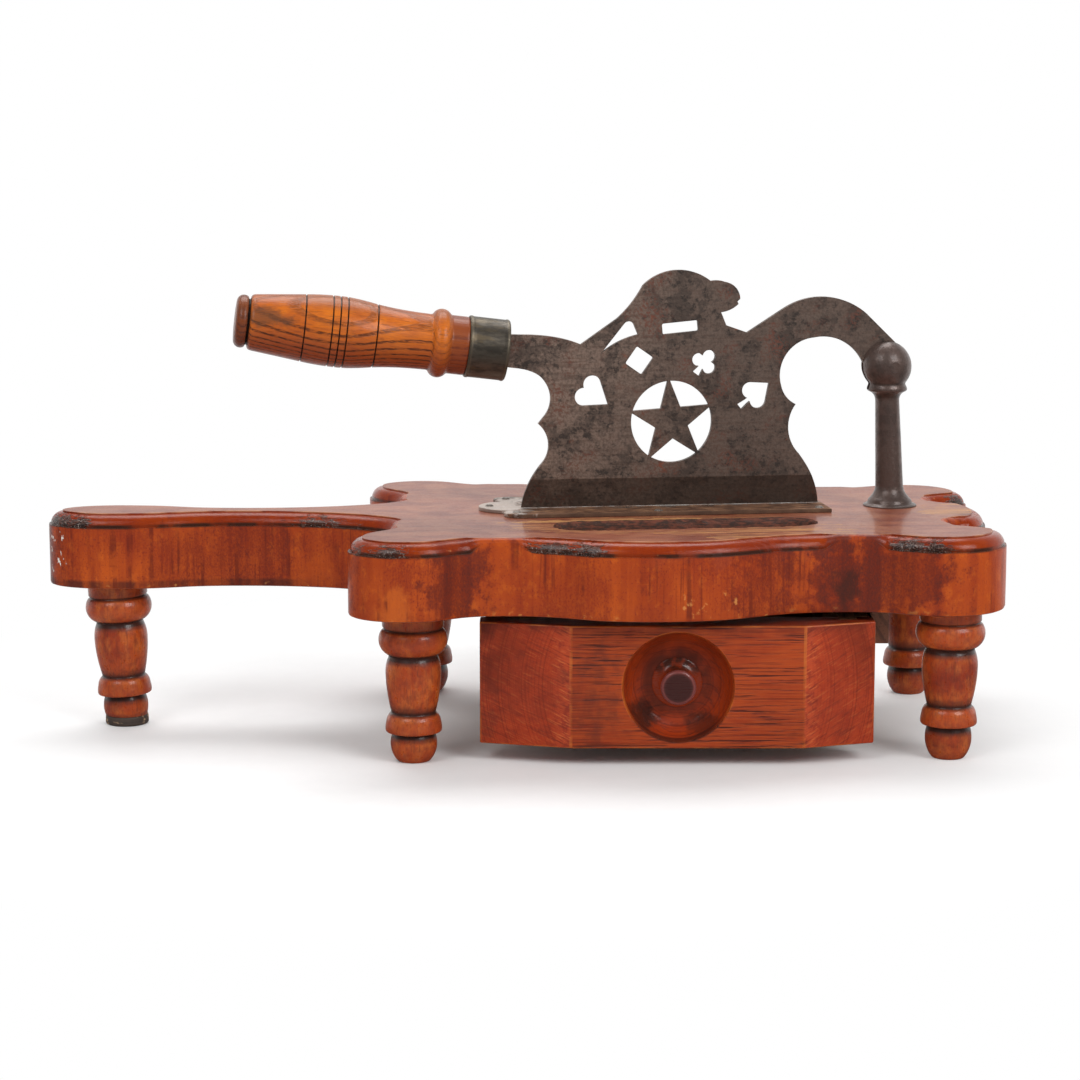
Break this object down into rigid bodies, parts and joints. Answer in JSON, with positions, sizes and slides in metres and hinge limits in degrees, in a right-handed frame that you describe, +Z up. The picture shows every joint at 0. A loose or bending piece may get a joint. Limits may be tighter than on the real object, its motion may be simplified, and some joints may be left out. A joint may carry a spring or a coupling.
{
  "type": "tobacco cutter",
  "caption": "Tobacco cutter: a pierced iron blade hinged on a ball post over a shaped wooden board with turned legs, an iron bed plate, a drop slot and a sliding drawer below.",
  "frame": {"origin": "on the floor, at the middle of the overall length and depth", "axes": "+X along the board from the tongue to the post end, -Y towards the front with the knob, +Z up"},
  "size_m": [0.442, 0.208, 0.2157],
  "materials": {
    "varnished_wood": "aged varnish",
    "grip_wood": "waxed",
    "plain_wood": "bare",
    "dark_wood": "dark stain",
    "iron": "brown patina",
    "brass": "tarnished"
  },
  "bodies": {
    "base": {"base_board": "varnished_wood", "leg_front_left": "varnished_wood", "leg_front_right": "varnished_wood", "leg_back_left": "varnished_wood", "leg_back_right": "varnished_wood", "leg_tongue": "varnished_wood", "foot_pad": "dark_wood", "bed_plate": "iron", "plate_nails": "iron", "pivot_post": "iron", "pivot_pin": "iron", "post_washer": "iron", "post_nut": "iron", "runner_left": "plain_wood", "runner_right": "plain_wood", "runner_screws": "iron"},
    "cutter": {"blade": "iron", "handle_ferrule": "brass", "handle_grip": "grip_wood"},
    "drawer": {"drawer_front": "varnished_wood", "drawer_side_left": "plain_wood", "drawer_side_right": "plain_wood", "drawer_back": "plain_wood", "drawer_bottom": "plain_wood", "drawer_cleat_left": "plain_wood", "drawer_cleat_right": "plain_wood", "drawer_knob": "dark_wood", "drawer_nails": "iron"}
  },
  "joints": [
    {"name": "blade_hinge", "type": "hinge", "parent": "base", "child": "cutter", "pos_m": [0.176, 0.013, 0.1698], "axis": [-0.1305, 0.9914, 0], "range_deg": [0, 80]},
    {"name": "drawer_slide", "type": "slide", "parent": "base", "child": "drawer", "axis": [0, -1, 0], "range_m": [0, 0.105]}
  ]
}
